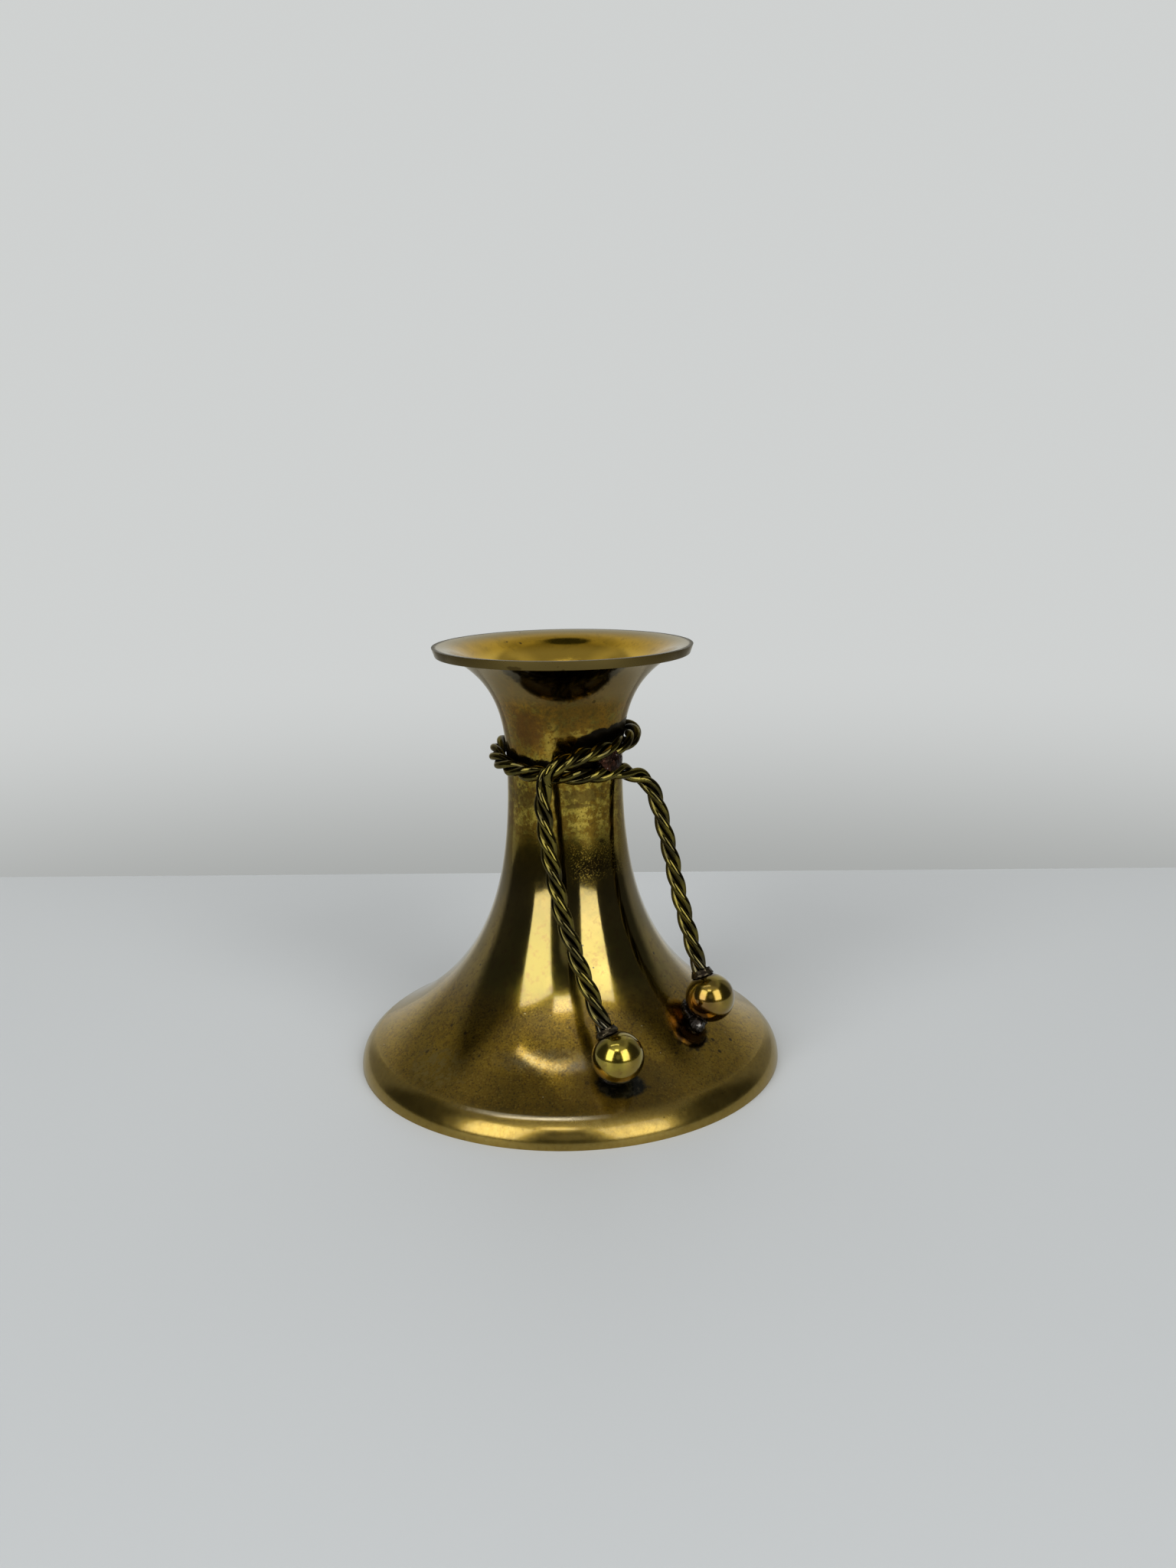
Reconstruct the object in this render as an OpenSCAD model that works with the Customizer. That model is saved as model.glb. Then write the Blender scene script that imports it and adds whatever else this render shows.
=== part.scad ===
/* [Body] */
// Diameter of the foot on the table
foot_d = 96; // [90:1:106]
// Height from the table to the top of the rim
total_h = 94.5; // [91:0.5:104]
// Thickness of the brass all over
wall = 1.6; // [1.2:0.1:2]
// Height of the narrowest point of the neck
neck_z = 66; // [60:0.5:69]
// Width of the rolled lip round the foot
lip_w = 3.4; // [2.6:0.1:5]
// Height of the crease above the lip
lip_h = 5.5; // [4.5:0.1:7.5]
// How sharply the lower flare curls outwards
low_curl = 2.8; // [2.2:0.1:3.4]

/* [Rim] */
// Diameter over the rim
rim_d = 56.8; // [50:0.2:62]
// How sharply the upper flare curls outwards
high_curl = 3.6; // [3:0.1:4.4]
// Height of the rim's edge
rim_h = 2; // [1.4:0.1:2.4]
// How much the rim's edge draws in towards its underside
rim_draft = 0.7; // [0:0.1:1]
// Height over which the funnel rolls out flat inside the rim
roll_h = 4.4; // [3.6:0.1:5.4]

/* [Candle socket] */
// Diameter of the bore for the candle
bore_d = 22.4; // [21.4:0.1:24]
// Depth of the bore above the candle stop
socket_depth = 22; // [18:0.5:24]
// Height of the bore's mouth above the narrowest point of the neck
mouth_rise = 11; // [9:0.5:12]
// Thickness of the candle stop
stop_t = 1.2; // [0.8:0.1:2]
// Width of the ledge above the candle stop
ledge_w = 0.5; // [0.3:0.1:0.8]
// Width and height of the solder round the candle stop
stop_solder_w = 1.4; // [1:0.1:2]

/* [Rope] */
// Diameter of one wire of the rope
wire_d = 1.75; // [1.4:0.05:2]
// Length of rope in which a wire goes once round
lay_pitch = 16; // [13:0.5:20]
// Height of the rope's lower pass above the narrowest point of the neck
tie_rise = 2.2; // [1:0.1:3]

/* [Balls] */
// Diameter of the balls on the rope's ends
ball_d = 10.7; // [9:0.1:12.5]
// Depth of the hole that takes the rope
hole_depth = 3.4; // [2.4:0.1:4]
// Height on the flare of the front ball's seat
front_seat_z = 10.8; // [9:0.1:14]
// Angle of the front ball, from the front towards the right
front_angle = 14; // [5:1:24]
// Height on the flare of the side ball's seat
side_seat_z = 14.6; // [12:0.1:18]
// Angle of the side ball, from the front towards the right
side_angle = 61; // [54:1:72]

/* [Solder] */
// Diameter of the solder under a ball
pad_d = 7; // [5:0.1:9]
// Height of the solder collar where the rope enters a ball
collar_h = 1.3; // [1:0.1:2.4]
// Width of the solder collar round the rope
collar_w = 0.7; // [0.6:0.1:1.4]
// Diameter of the drop of solder that ran out beside the side ball
run_d = 3.8; // [3:0.1:4.6]
// How far the middle of that drop lies round from its ball towards the front, in degrees
run_swing = 5.5; // [4:0.5:7]
// How far the middle of that drop lies below its ball's seat
run_drop = 1.5; // [0.8:0.1:2.4]
// Diameter of the solder drop between the two passes at the neck
drop_d = 6; // [5:0.1:6.6]
// Angle of that drop, from the front towards the right
drop_angle = 40; // [32:1:46]

/* [Hidden] */

// Facets round a turned piece and points along a flare
turn_fn = 96;
flare_steps = 22;
lip_steps = 7;
roll_steps = 8;

// Clearances: candle stop in its bore, solder on its seat, ball on the flare, rope on the neck
stop_gap = 0.05;
solder_gap = 0.03;
seat_gap = 0.05;
rope_gap = 0.1;
// Space between neighbouring wires, and between the rope and the hole in its ball
wire_gap = 0.06;
hole_gap = 0.1;
// How far a cut runs past the piece that it cuts
overrun = 1;

foot_r = foot_d / 2;
rim_r = rim_d / 2;
bore_r = bore_d / 2;
ball_r = ball_d / 2;
neck_r = bore_r + wall;
crease_r = foot_r - lip_w;
brim_z = total_h - rim_h;
roll_z = total_h - roll_h;
mouth_z = neck_z + mouth_rise;
stop_z = mouth_z - socket_depth;
stop_r = bore_r + ledge_w;
skirt_z = stop_z - stop_t - stop_solder_w;

// Outline of the body. A flare leaves the neck upright and curls outwards; u runs from 0 at the
// neck to 1 at the end of the flare, and so does the part of the way out that it returns.
function flare(u, curl) = (exp(curl * u) - 1 - curl * u) / (exp(curl) - 1 - curl);
function flare_rate(u, curl) = curl * (exp(curl * u) - 1) / (exp(curl) - 1 - curl);
function outer_r(z) = z < neck_z
    ? neck_r + (crease_r - neck_r) * flare((neck_z - z) / (neck_z - lip_h), low_curl)
    : neck_r + (rim_r - neck_r) * flare((z - neck_z) / (total_h - neck_z), high_curl);
// Growth of the radius with height
function lean(z) = z < neck_z
    ? -(crease_r - neck_r) * flare_rate((neck_z - z) / (neck_z - lip_h), low_curl) / (neck_z - lip_h)
    : (rim_r - neck_r) * flare_rate((z - neck_z) / (total_h - neck_z), high_curl) / (total_h - neck_z);
// Point that stands off the outline by a distance, square to it: [radius, height]
function off_outline(z, off) =
    let (q = sqrt(1 + lean(z) * lean(z))) [outer_r(z) + off / q, z - off * lean(z) / q];
function bend(a, b, c, t) = (1 - t) * (1 - t) * a + 2 * t * (1 - t) * b + t * t * c;
// Rolled lip from the crease down to the table, standing off its outline by a distance
function lip(off) =
    let (a = off_outline(lip_h, off), r = foot_r + off, drop = (r - a[0]) / -lean(lip_h))
    [for (i = [0:lip_steps]) bend(a, [r, a[1] - drop], [r, 0], i / lip_steps)];
// Heights down a flare, closer together where it curls
function heights(from, to, steps) =
    [for (i = [0:steps]) from + (to - from) * sin(90 * i / steps)];

low_heights = heights(neck_z, lip_h, flare_steps);
high_heights = heights(neck_z, brim_z, flare_steps);
function reversed(list) = [for (i = [len(list) - 1:-1:0]) list[i]];

// Right half of the body without its inside, grown by a distance: from the table up to the brim
function outer_half(grow) = concat(
    reversed(lip(grow)),
    [for (i = [flare_steps - 1:-1:0]) off_outline(low_heights[i], grow)],
    [for (i = [1:flare_steps]) off_outline(high_heights[i], grow)]);

// Inside of the wall from the rim down to the table. Between the flares are the straight bore, the
// ledge and the seat of the candle stop below it, each joined to its flare by a slope.
slope_h = 2 * wall;
roll_start = off_outline(roll_z, -wall);
roll_knee = [roll_start[0] + (total_h - roll_start[1]) * lean(roll_z), total_h];
inner_half = concat(
    [for (i = [0:roll_steps]) bend([rim_r, total_h], roll_knee, roll_start, i / roll_steps)],
    [for (z = reversed(high_heights)) let (p = off_outline(z, -wall))
        if (z < roll_z && p[1] > mouth_z + slope_h) p],
    [[bore_r, mouth_z], [bore_r, stop_z], [stop_r, stop_z], [stop_r, skirt_z]],
    [for (z = low_heights) let (p = off_outline(z, -wall))
        if (z > lip_h && p[1] < skirt_z - slope_h) p],
    lip(-wall));

brass = [0.66, 0.52, 0.24];
dark_brass = [0.45, 0.37, 0.17];
solder = [0.42, 0.38, 0.34];

// Spun body: foot, neck and rim in one wall, open from end to end
module candle_body()
    color(brass) rotate_extrude($fn = turn_fn)
        polygon(concat(outer_half(0), [[rim_r - rim_draft, brim_z]], inner_half));

// Everything inside the body's outer skin, to cut what seats on it
module body_core(grow)
    rotate_extrude($fn = 4 * turn_fn)
        polygon(concat([[0, 0]], outer_half(grow), [[0, brim_z]]));

// Disc that the candle stands on, pushed up against the ledge from below
module candle_stop()
    color(brass) translate([0, 0, stop_z - stop_t])
        cylinder(r = stop_r - stop_gap, h = stop_t, $fn = turn_fn);

// Hollow fillet of solder under the stop, round its seat
module stop_solder()
    color(solder) rotate_extrude($fn = turn_fn)
        translate([stop_r - solder_gap, stop_z - stop_t - solder_gap])
            polygon([[0, 0], [-stop_solder_w, 0], [-stop_solder_w / 3, -stop_solder_w / 3],
                [0, -stop_solder_w]]);

// Rope of three wires. Its wires lie at lay_r from its middle, so that neighbours are wire_gap apart:
// the nearest points of two helices of one pitch lie a little closer than the side of their triangle.
// That share depends on lay_r itself, so it is found in a few tries.
lay_tries = 5;
function near_share(r) = let (c = lay_pitch / (2 * PI * r)) sqrt(3 - 3 / (4 * (c * c - 0.5)));
function lay_radius(r, tries) =
    tries == 0 ? r : lay_radius((wire_d + wire_gap) / near_share(r), tries - 1);
lay_r = lay_radius(wire_d / sqrt(3), lay_tries);
rope_r = lay_r + wire_d / 2;
rope_d = 2 * rope_r;
tie_z = neck_z + tie_rise;

// Point at an angle from the front, measured towards the right
function around(angle, r, z) = [r * sin(angle), -r * cos(angle), z];
function on_body(angle, z, off) = let (p = off_outline(z, off)) around(angle, p[0], p[1]);

front_centre = on_body(front_angle, front_seat_z, ball_r + seat_gap);
side_centre = on_body(side_angle, side_seat_z, ball_r + seat_gap);

// Way of the rope round the neck, from where the side tail joins it to where it drops over itself.
// Each row has the angle from the front, the rise above tie_z and the distance from the neck, both in
// diameters of the rope.
neck_way_shares = [
    [50, 0, 0], [30, 0.02, 0], [8, 0.02, 0], [-15, 0.08, 0], [-38, 0.18, 0], [-62, 0.36, 0],
    [-85, 0.6, 0], [-110, 0.87, 0], [-140, 1.14, 0], [-172, 1.4, 0], [-205, 1.6, 0],
    [-235, 1.72, 0], [-262, 1.73, 0], [-287, 1.62, 0], [-308, 1.47, 0], [-325, 1.37, 0.02],
    [-338, 1.31, 0.12], [-349, 1.23, 0.34], [-358, 1.1, 0.66], [-366, 0.86, 0.98],
    [-371, 0.45, 1.08], [-372.5, 0, 1.06]];
// Way of each tail from the neck down to its ball. Each row has the share of the drop, the share of
// the way out and the swing in degrees past the ball's angle.
side_way_shares = [
    [0.03, 0.05, 5.5], [0.06, 0.155, 13], [0.11, 0.24, 14.2], [0.17, 0.3, 13.8], [0.25, 0.36, 12.2],
    [0.39, 0.465, 9], [0.54, 0.57, 6], [0.7, 0.7, 3.6], [0.83, 0.815, 2]];
front_way_shares = [
    [0.055, 0.06, -27.6], [0.12, 0.12, -26.3], [0.185, 0.18, -24.7], [0.25, 0.235, -22.9],
    [0.375, 0.345, -19.4], [0.505, 0.463, -15.9], [0.59, 0.54, -12.8], [0.68, 0.63, -10],
    [0.767, 0.724, -7], [0.853, 0.818, -4.6]];

function neck_point(row) = on_body(row[0], tie_z + row[1] * rope_d, rope_r + rope_gap + row[2] * rope_d);
function flat_r(p) = norm([p[0], p[1]]);
function mix(a, b, share) = a + (b - a) * share;
function tail(top, centre, angle, rows) =
    [for (row = rows) around(angle + row[2], mix(flat_r(top), flat_r(centre), row[1]),
        mix(top[2], centre[2], row[0]))];
function unit(v) = v / norm(v);
// Last stretch of a tail, straight towards the middle of its ball and into the hole
function entry(last, centre) =
    [for (reach = [ball_r + collar_h, ball_r - hole_depth]) centre + reach * unit(last - centre)];

neck_way = [for (row = neck_way_shares) neck_point(row)];
side_tail = tail(neck_way[0], side_centre, side_angle, side_way_shares);
front_tail = tail(neck_way[len(neck_way) - 1], front_centre, front_angle, front_way_shares);
side_last = side_tail[len(side_tail) - 1];
front_last = front_tail[len(front_tail) - 1];
way = concat(reversed(entry(side_last, side_centre)), reversed(side_tail), neck_way,
    front_tail, entry(front_last, front_centre));

// Smooth curve through the points of the way, as many steps from each to the next
way_steps = 6;
function through(a, b, c, d, t) =
    b + (c - a) * t / 2 + (a - 2.5 * b + 2 * c - 0.5 * d) * t * t
    + (1.5 * b - 0.5 * a - 1.5 * c + 0.5 * d) * t * t * t;
last_point = len(way) - 1;
function way_point(i) = i < 0 ? 2 * way[0] - way[1]
    : i > last_point ? 2 * way[last_point] - way[last_point - 1] : way[i];
curve = concat(
    [for (i = [0:last_point - 1], j = [0:way_steps - 1])
        through(way_point(i - 1), way_point(i), way_point(i + 1), way_point(i + 2), j / way_steps)],
    [way[last_point]]);

// Even steps along the curve, twelve to one turn of a wire
rings_per_turn = 12;
curve_end = len(curve) - 1;
travel = [for (i = 0, s = 0; i <= curve_end;
    s = s + (i < curve_end ? norm(curve[i + 1] - curve[i]) : 0), i = i + 1) s];
rope_l = travel[curve_end];
ring_count = round(rope_l * rings_per_turn / lay_pitch);
function at_travel(s) = let (i = min(max([for (k = [0:curve_end]) if (travel[k] <= s) k]), curve_end - 1))
    mix(curve[i], curve[i + 1], (s - travel[i]) / (travel[i + 1] - travel[i]));
middle = [for (i = [0:ring_count]) at_travel(min(rope_l * i / ring_count, rope_l))];

function heading(line, i) = unit(line[min(i + 1, len(line) - 1)] - line[max(i - 1, 0)]);
// Side direction carried along the rope without twisting: it is mirrored from each ring to the next
function mirrored(v, m) = v - 2 * (v * m) / (m * m) * m;
function carried(side, i) =
    let (step = middle[i + 1] - middle[i], turned = mirrored(side, step),
        head = mirrored(heading(middle, i), step))
    norm(heading(middle, i + 1) - head) == 0 ? turned : mirrored(turned, heading(middle, i + 1) - head);
first_side = unit(cross(heading(middle, 0), [0, 0, 1]));
sides = [for (i = 0, v = first_side; i <= ring_count;
    v = i < ring_count ? carried(v, i) : v, i = i + 1) v];

// Middle of one wire: left-handed round the rope
function wire_middle(start) =
    [for (i = [0:ring_count])
        let (turn = start - 360 * rope_l * i / ring_count / lay_pitch,
            up = cross(heading(middle, i), sides[i]))
        middle[i] + lay_r * (cos(turn) * sides[i] + sin(turn) * up)];

// Round wire along a line, closed at both ends. Its rings are square to the wire.
wire_sides = 8;
module wire(line) {
    last = len(line) - 1;
    points = [for (i = [0:last])
        let (head = heading(line, i), out = line[i] - middle[i],
            across = unit(out - (out * head) * head), up = cross(head, across))
        for (k = [0:wire_sides - 1])
            line[i] + wire_d / 2 * (cos(360 * k / wire_sides) * across + sin(360 * k / wire_sides) * up)];
    skin = [for (i = [0:last - 1], k = [0:wire_sides - 1])
        let (a = i * wire_sides + k, b = i * wire_sides + (k + 1) % wire_sides)
        each [[a, a + wire_sides, b], [b, a + wire_sides, b + wire_sides]]];
    near_end = [for (k = [1:wire_sides - 2]) [0, k, k + 1]];
    far = last * wire_sides;
    far_end = [for (k = [1:wire_sides - 2]) [far, far + k + 1, far + k]];
    polyhedron(points, concat(skin, near_end, far_end), convexity = 10);
}

module rope_wire(number) color(dark_brass) wire(wire_middle(120 * number));

// Turns the upright axis to a direction
module along(direction) {
    tilt = acos(direction[2] / norm(direction));
    swing = atan2(direction[1], direction[0]);
    rotate([0, tilt, swing]) children();
}

// Polished ball with a blind hole along the rope's last stretch
module ball(centre, last)
    color(brass) translate(centre) difference() {
        sphere(r = ball_r, $fn = turn_fn);
        along(last - centre) translate([0, 0, ball_r - hole_depth - hole_gap])
            cylinder(r = rope_r + hole_gap, h = hole_depth + overrun, $fn = turn_fn / 2);
    }

// Ring of solder between a ball and the flare, hollow where the ball all but touches, with any drop
// that ran out beside it. Its profile has the distance from its axis and the height over the flare,
// both in diameters of the ring.
pad_profile_shares = [[0.2, -0.2], [0.5, -0.2], [0.5, 0.07], [0.33, 0.165], [0.2, 0.165]];
module ball_solder(angle, seat_z, centre) {
    seat = on_body(angle, seat_z, 0);
    color(solder) difference() {
        union() {
            translate(seat) along(centre - seat) rotate_extrude($fn = turn_fn / 2)
                polygon(pad_d * pad_profile_shares);
            children();
        }
        body_core(solder_gap);
        translate(centre) sphere(r = ball_r + solder_gap, $fn = turn_fn);
    }
}

// Collar of solder round the rope where it enters its ball
module rope_solder(centre, last)
    color(solder) translate(centre) difference() {
        along(last - centre) rotate_extrude($fn = turn_fn / 2)
            polygon([[rope_r + solder_gap, 0], [rope_r + collar_w, 0], [rope_r + collar_w, ball_r],
                [rope_r + solder_gap, ball_r + collar_h]]);
        sphere(r = ball_r + solder_gap, $fn = turn_fn);
    }

// Drop of solder that ties the two passes of the rope to the neck and to each other
function rise_share(angle) = lookup(angle, [for (row = neck_way_shares) [row[0], row[1]]]);
module neck_solder() {
    low = off_outline(tie_z + rise_share(drop_angle) * rope_d, rope_r + rope_gap);
    high = off_outline(tie_z + rise_share(drop_angle - 360) * rope_d, rope_r + rope_gap);
    color(solder) difference() {
        translate(around(drop_angle, (low[0] + high[0]) / 2, (low[1] + high[1]) / 2))
            sphere(r = drop_d / 2, $fn = turn_fn / 2);
        body_core(solder_gap);
        for (ring = [low, high])
            rotate_extrude($fn = turn_fn) translate(ring)
                circle(r = rope_r + rope_gap, $fn = turn_fn / 2);
    }
}

candle_body();
candle_stop();
stop_solder();
rope_wire(1);  // rope_wire_1
rope_wire(2);  // rope_wire_2
rope_wire(3);  // rope_wire_3
ball(front_centre, front_last);  // front_ball
ball(side_centre, side_last);  // side_ball
ball_solder(front_angle, front_seat_z, front_centre);  // front_ball_solder
ball_solder(side_angle, side_seat_z, side_centre)  // side_ball_solder
    translate(on_body(side_angle - run_swing, side_seat_z - run_drop, 0))
        sphere(r = run_d / 2, $fn = turn_fn / 2);
rope_solder(front_centre, front_last);  // front_rope_solder
rope_solder(side_centre, side_last);  // side_rope_solder
neck_solder();
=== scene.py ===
import math

import bmesh
import bpy
from mathutils import Matrix, Vector, kdtree, noise


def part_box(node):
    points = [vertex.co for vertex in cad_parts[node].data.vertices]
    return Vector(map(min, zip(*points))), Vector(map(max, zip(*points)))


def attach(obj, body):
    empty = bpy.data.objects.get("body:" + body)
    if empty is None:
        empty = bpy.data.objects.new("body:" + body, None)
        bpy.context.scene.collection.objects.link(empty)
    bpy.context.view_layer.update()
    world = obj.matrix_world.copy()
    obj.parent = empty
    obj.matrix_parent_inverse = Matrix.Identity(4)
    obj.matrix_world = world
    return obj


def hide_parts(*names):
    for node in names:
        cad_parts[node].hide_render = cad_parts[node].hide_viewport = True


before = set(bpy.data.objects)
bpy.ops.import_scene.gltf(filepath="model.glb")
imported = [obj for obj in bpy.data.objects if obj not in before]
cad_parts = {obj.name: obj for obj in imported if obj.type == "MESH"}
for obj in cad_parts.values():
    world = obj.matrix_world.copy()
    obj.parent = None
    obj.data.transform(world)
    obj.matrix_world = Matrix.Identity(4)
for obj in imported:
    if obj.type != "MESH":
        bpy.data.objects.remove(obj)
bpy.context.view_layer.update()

MM = 0.001

# Spun body: its outline repeats the formula of the solid's flares, with more points along each,
# and the knee of its lip lies a little lower than in the solid
body_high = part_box("candle_body")[1]
FOOT_R = body_high.x
TOTAL_H = body_high.z
WALL = 1.6 * MM
NECK_Z = 66 * MM
NECK_R = 12.8 * MM
RIM_R = 28.4 * MM
RIM_H = 2 * MM
RIM_DRAFT = 0.7 * MM
RIM_ROUND = 0.13 * MM
ROLL_H = 4.4 * MM
LIP_H = 5.5 * MM
LIP_W = 3.4 * MM
LIP_KNEE_Z = 3.25 * MM
CREASE_R = FOOT_R - LIP_W
LOW_CURL = 2.8
HIGH_CURL = 3.6
BRIM_Z = TOTAL_H - RIM_H
ROLL_Z = TOTAL_H - ROLL_H

# Candle socket
SOCKET_DEPTH = 22 * MM
LEDGE = 0.5 * MM
BORE_R = NECK_R - WALL
MOUTH_Z = 77 * MM
STOP_Z = MOUTH_Z - SOCKET_DEPTH
STOP_R = BORE_R + LEDGE
SKIRT_Z = 52.4 * MM

# Facets of the turned skin
TURN_STEPS = 240
FLARE_STEPS = 70
LIP_STEPS = 14
ROLL_STEPS = 24

# Points this close are one point, and edges this close to a corner of the rim are on it
SAME_PLACE = 0.001 * MM
ON_CORNER = 0.01 * MM

# Limits of the rim's edge, and the height from which all the rest of the rim counts as inside
EDGE_LOW_Z = BRIM_Z - 0.1 * MM
EDGE_HIGH_Z = TOTAL_H - 0.06 * MM
EDGE_R = RIM_R - 1.1 * RIM_DRAFT
FUNNEL_Z = BRIM_Z + 0.1 * MM

# Rope and balls
WIRES = ("rope_wire_1", "rope_wire_2", "rope_wire_3")
WIRE_R = 0.875 * MM
WIRE_SIDES = 8
WIRE_FLATS = math.radians(40)
ROPE_R = 1.95 * MM
BALLS = ("front_ball", "side_ball")
BALL_TURNS, BALL_RINGS = 64, 48
HOLE_R = ROPE_R + 0.1 * MM
HOLE_DEPTH = 3.4 * MM
HOLE_ROUND = 0.2 * MM

# Solder: size of its remeshed cells, of its lumps and of the ripples on them, and the share that is
# left of what stands beyond the reach of the neck's solder
SOLDER_CELL = 0.12 * MM
LUMP_SIZE = 1.1 * MM
RIPPLE_SIZE = 0.45 * MM
NECK_REACH = 15.8 * MM
BEYOND_REACH = 0.35

# Dirt and painted shade by its distances from the rope or the body: full up to the first, none from
# the second
GROOVE_DIRT_AND_SHADE = (0.15 * MM, 0.6 * MM)
BALL_DIRT_AND_SHADE_BY_ROPE = (0.5 * MM, 2 * MM)
BALL_DIRT_AND_SHADE_BY_BODY = (0.5 * MM, 1.3 * MM)
BALLS_TOP_Z = 25 * MM

# The same in millimetres for the body below the rope and above it, and what is added above it
# towards the right, over a run that starts left of the middle
BODY_DIRT_AND_SHADE_BELOW = (0.3, 1.4)
BODY_DIRT_AND_SHADE_ABOVE = (0.8, 2.2)
BODY_DIRT_AND_SHADE_MORE = (1.1, 1.5)
DIRT_AND_SHADE_RUN_START = 1 * MM
DIRT_AND_SHADE_RUN = 7 * MM

# Darkened back of a wire, dirt and painted shade: its share where the wire looks sideways, and how
# fast it grows towards the axis
BACK_SHARE = 0.12
BACK_GROWTH = 1.4


def link(name, mesh, material, slot, *nodes):
    """Makes a finished piece that rides with the holder and stands for CAD nodes."""
    piece = bpy.data.objects.new(name, mesh)
    bpy.context.scene.collection.objects.link(piece)
    mesh.materials.clear()
    mesh.materials.append(material)
    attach(piece, "root")
    if nodes:
        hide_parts(*nodes)
    return piece


def to_mesh(bm, name, smooth_below=35):
    """Turns a bmesh into a mesh that is smooth but for edges sharper than an angle."""
    for face in bm.faces:
        face.smooth = True
    for edge in bm.edges:
        edge.smooth = edge.calc_face_angle(0) < math.radians(smooth_below)
    mesh = bpy.data.meshes.new(name)
    bm.to_mesh(mesh)
    bm.free()
    return mesh


def round_edges(bm, edges, width):
    bmesh.ops.bevel(bm, geom=edges, offset=width, offset_type="OFFSET", affect="EDGES",
                    segments=3, profile=0.5, material=-1, clamp_overlap=True)


def flare(u, curl):
    return (math.exp(curl * u) - 1 - curl * u) / (math.exp(curl) - 1 - curl)


def flare_rate(u, curl):
    return curl * (math.exp(curl * u) - 1) / (math.exp(curl) - 1 - curl)


def outer_r(z):
    if z < NECK_Z:
        return NECK_R + (CREASE_R - NECK_R) * flare((NECK_Z - z) / (NECK_Z - LIP_H), LOW_CURL)
    return NECK_R + (RIM_R - NECK_R) * flare((z - NECK_Z) / (TOTAL_H - NECK_Z), HIGH_CURL)


def lean(z):
    """Growth of the radius with height."""
    if z < NECK_Z:
        drop = NECK_Z - LIP_H
        return -(CREASE_R - NECK_R) * flare_rate((NECK_Z - z) / drop, LOW_CURL) / drop
    rise = TOTAL_H - NECK_Z
    return (RIM_R - NECK_R) * flare_rate((z - NECK_Z) / rise, HIGH_CURL) / rise


def off_outline(z, off):
    """Point of the outline at a height, moved outwards at a right angle to it."""
    q = math.hypot(1, lean(z))
    return outer_r(z) + off / q, z - off * lean(z) / q


def heights(start, end):
    """Heights from a start to an end, closer together towards the end."""
    return [start + (end - start) * math.sin(math.pi / 2 * i / FLARE_STEPS)
            for i in range(FLARE_STEPS + 1)]


def bend(a, b, c, steps):
    """Curve from one point to another that starts and ends towards a knee."""
    return [tuple((1 - t) ** 2 * p + 2 * t * (1 - t) * q + t * t * r for p, q, r in zip(a, b, c))
            for t in (i / steps for i in range(steps + 1))]


def lip(off):
    """Rolled lip from the crease down to the table, standing off its outline by a distance."""
    r = FOOT_R + off
    return bend(off_outline(LIP_H, off), (r, LIP_KNEE_Z), (r, 0), LIP_STEPS)


def body_outline():
    """Closed outline of the wall: up the outside from the table, over the rim, down the inside."""
    low, high = heights(NECK_Z, LIP_H), heights(NECK_Z, BRIM_Z)
    slope = 2 * WALL
    outside = lip(0)[::-1] + [off_outline(z, 0) for z in low[-2::-1]]
    outside += [off_outline(z, 0) for z in high[1:]] + [(RIM_R - RIM_DRAFT, BRIM_Z)]
    start = off_outline(ROLL_Z, -WALL)
    knee = (start[0] + (TOTAL_H - start[1]) * lean(ROLL_Z), TOTAL_H)
    roll = bend((RIM_R, TOTAL_H), knee, start, ROLL_STEPS)
    inside = [p for z, p in ((z, off_outline(z, -WALL)) for z in high[-2::-1])
              if z < ROLL_Z and p[1] > MOUTH_Z + slope]
    inside += [(BORE_R, MOUTH_Z), (BORE_R, STOP_Z), (STOP_R, STOP_Z), (STOP_R, SKIRT_Z)]
    inside += [p for p in (off_outline(z, -WALL) for z in low[:-1]) if p[1] < SKIRT_Z - slope]
    return outside + roll + inside + lip(-WALL)


def spun_body():
    """The outline turned round the axis, with both corners of the rim's edge rounded."""
    bm = bmesh.new()
    verts = [bm.verts.new((r, 0, z)) for r, z in body_outline()]
    for a, b in zip(verts, verts[1:] + verts[:1]):
        bm.edges.new((a, b))
    bmesh.ops.spin(bm, geom=bm.verts[:] + bm.edges[:], cent=(0, 0, 0), axis=(0, 0, 1),
                   angle=2 * math.pi, steps=TURN_STEPS, use_merge=True)
    bmesh.ops.remove_doubles(bm, verts=bm.verts, dist=SAME_PLACE)
    rim_corners = ((RIM_R, TOTAL_H), (RIM_R - RIM_DRAFT, BRIM_Z))
    loops = [e for e in bm.edges for r, z in rim_corners if all(
        math.hypot(math.hypot(v.co.x, v.co.y) - r, v.co.z - z) < ON_CORNER for v in e.verts)]
    round_edges(bm, loops, RIM_ROUND)
    bmesh.ops.recalc_face_normals(bm, faces=bm.faces)
    return bm


def merged_copy(node):
    """A CAD node's mesh with its loose triangles joined."""
    bm = bmesh.new()
    bm.from_mesh(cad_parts[node].data)
    bmesh.ops.remove_doubles(bm, verts=bm.verts, dist=SAME_PLACE)
    return bm


def finished(mesh, **modifiers):
    """The mesh with modifiers applied, given as kind=settings."""
    scratch = bpy.data.objects.new("scratch", mesh)
    bpy.context.scene.collection.objects.link(scratch)
    for kind, settings in modifiers.items():
        modifier = scratch.modifiers.new(kind, kind)
        for key, value in settings.items():
            setattr(modifier, key, value)
    graph = bpy.context.evaluated_depsgraph_get()
    done = bpy.data.meshes.new_from_object(scratch.evaluated_get(graph))
    bpy.data.objects.remove(scratch)
    return done


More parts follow.
